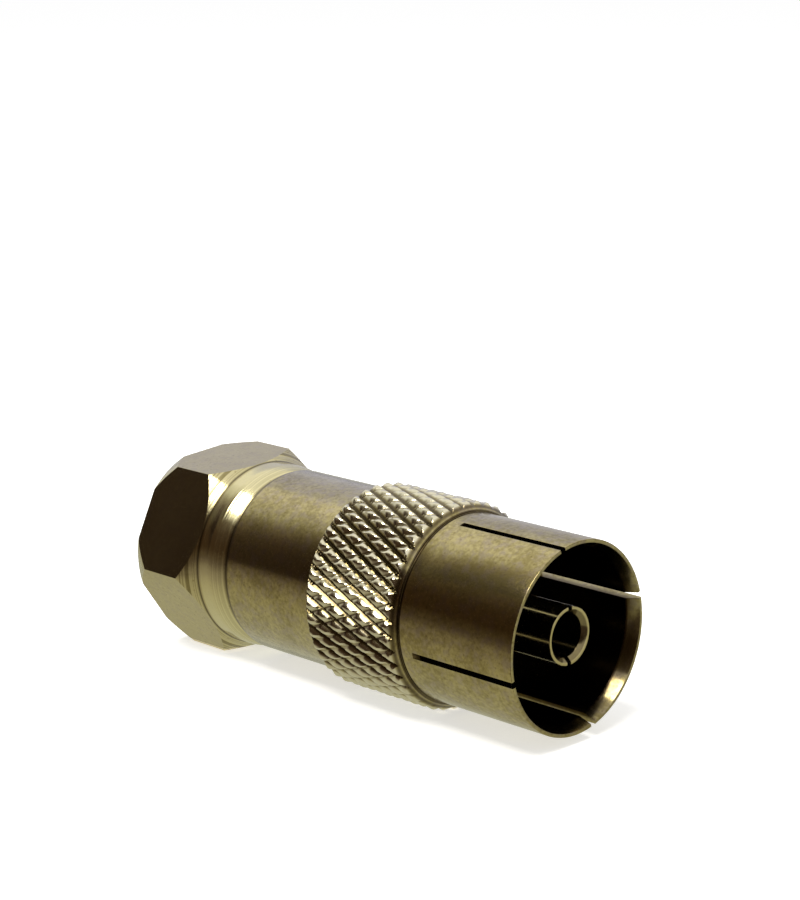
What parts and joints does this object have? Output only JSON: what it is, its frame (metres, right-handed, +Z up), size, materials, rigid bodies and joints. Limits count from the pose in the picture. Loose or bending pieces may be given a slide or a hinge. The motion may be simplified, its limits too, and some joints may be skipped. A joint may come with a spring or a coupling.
{
  "type": "F plug to coaxial TV socket adapter",
  "caption": "Coaxial adapter: screw-on plug with turning hex nut at one end, slotted push-on socket with knurled grip at the other.",
  "frame": {"origin": "centre of the socket sleeve's mouth, on the adapter's axis", "axes": "+X out of the TV socket's mouth along the axis, +Z up with the adapter lying on its grip and nut"},
  "size_m": [0.0305, 0.0126, 0.0116],
  "materials": {
    "nickel_shell": "satin nickel plate",
    "nickel_nut": "satin nickel plate",
    "nickel_inner": "satin nickel plate",
    "nickel_contact": "bright nickel plate",
    "insulator": "natural moulded",
    "insulator_dark": "black moulded"
  },
  "bodies": {
    "body": {"shell": "nickel_shell", "ferrule": "nickel_inner", "rear_insulator": "insulator_dark", "front_insulator": "insulator", "centre_contact": "nickel_contact"},
    "nut": {"coupling_nut": "nickel_nut"}
  },
  "joints": [
    {"name": "nut_spin", "type": "hinge", "parent": "body", "child": "nut", "pos_m": [-0.0228, 0, 0], "axis": [1, 0, 0], "continuous": true}
  ]
}
